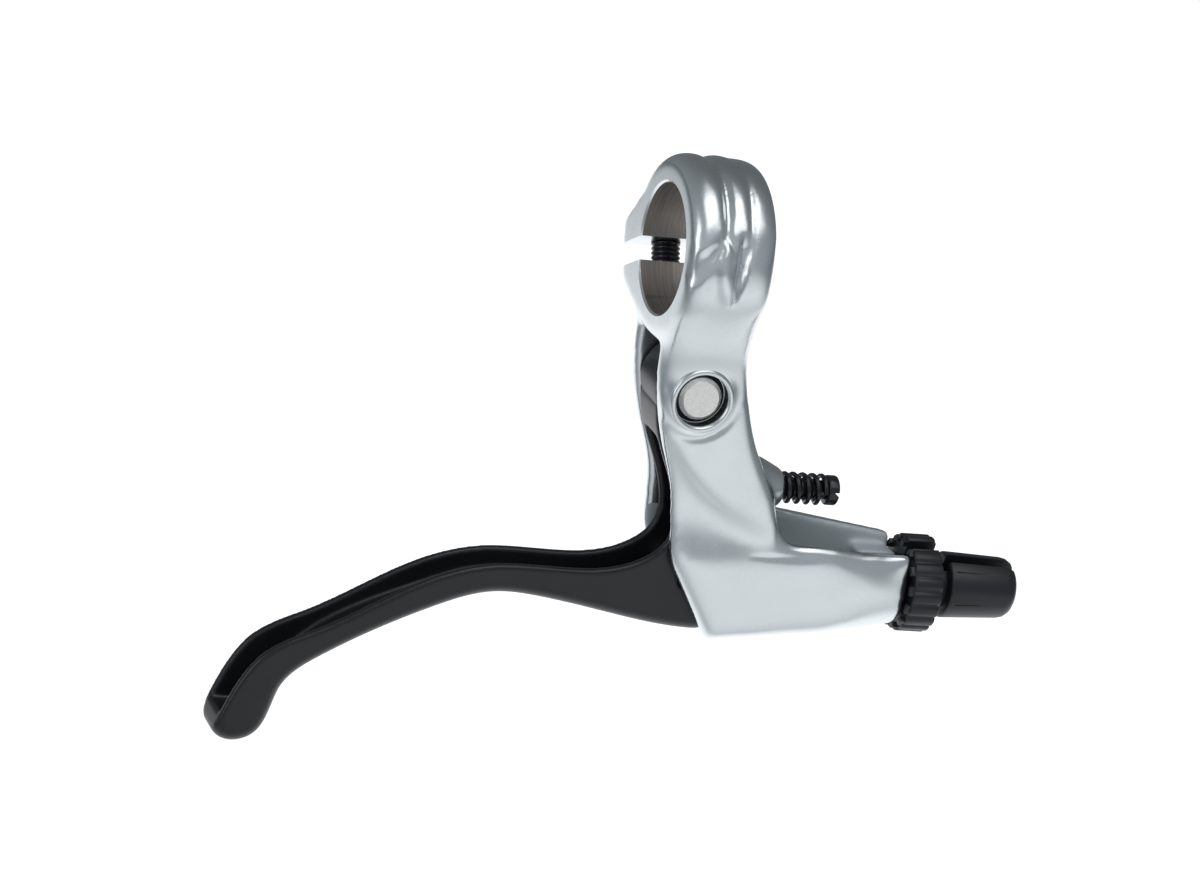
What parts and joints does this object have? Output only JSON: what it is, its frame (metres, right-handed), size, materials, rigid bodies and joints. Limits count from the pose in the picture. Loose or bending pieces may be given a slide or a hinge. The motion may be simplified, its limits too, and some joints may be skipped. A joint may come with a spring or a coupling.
{
  "type": "bicycle brake lever",
  "caption": "Bicycle brake lever: split clamp ring on a forked bracket, curved channel blade on a cross pivot, sprung reach screw and slotted barrel cable adjuster with lock ring.",
  "frame": {"origin": "on the axis of the handlebar bore, straight over the lever's pivot", "axes": "+X along the handlebar towards the cable outlet, +Y from the front of the lever to its rear, +Z from the lever to the handlebar"},
  "size_m": [0.1404, 0.0388, 0.1075],
  "materials": {
    "silver_anodised": "satin anodised forging",
    "black_anodised": "satin black anodised",
    "black_steel": "black oxide, slightly oiled",
    "bright_steel": "plain zinc-plated steel",
    "bronze": "sintered bronze"
  },
  "bodies": {
    "bracket": {"bracket": "silver_anodised", "clamp_bolt": "black_steel", "clamp_bolt_washer": "bright_steel", "pivot_axle": "bright_steel", "pivot_screw": "bright_steel", "pivot_washer": "bright_steel"},
    "lever": {"lever_blade": "black_anodised", "front_bush": "bronze", "rear_bush": "bronze", "hook_pin": "bright_steel"},
    "cable_hook": {"cable_hook": "bright_steel"},
    "reach_spring": {"reach_spring": "black_steel"},
    "reach_screw": {"reach_screw": "black_steel"},
    "adjuster_barrel": {"adjuster_barrel": "black_anodised"},
    "lock_ring": {"lock_ring": "black_anodised"}
  },
  "joints": [
    {"name": "lever_pivot", "type": "hinge", "parent": "bracket", "child": "lever", "pos_m": [0, 0, -0.0232], "axis": [0, 1, 0], "range_deg": [0, 35]},
    {"name": "hook_swivel", "type": "hinge", "parent": "lever", "child": "cable_hook", "pos_m": [0.0053, 0, -0.0569], "axis": [0, 1, 0], "range_deg": [-35, 0]},
    {"name": "reach_advance", "type": "slide", "parent": "bracket", "child": "reach_spring", "axis": [1, 0, 0], "range_m": [0, 0.004], "deforming": ["reach_spring"]},
    {"name": "reach_turn", "type": "hinge", "parent": "reach_spring", "child": "reach_screw", "pos_m": [0.0208, 0, -0.0409], "axis": [1, 0, 0], "range_deg": [0, 2060]},
    {"name": "adjuster_advance", "type": "slide", "parent": "bracket", "child": "adjuster_barrel", "axis": [1, 0, 0], "range_m": [0, 0.005]},
    {"name": "lock_ring_turn", "type": "hinge", "parent": "bracket", "child": "lock_ring", "pos_m": [0.0485, 0, -0.0569], "axis": [1, 0, 0], "continuous": true}
  ],
  "couplings": [
    {"joint": "reach_turn", "follows": "reach_advance", "rad_per_m": 8976}
  ]
}
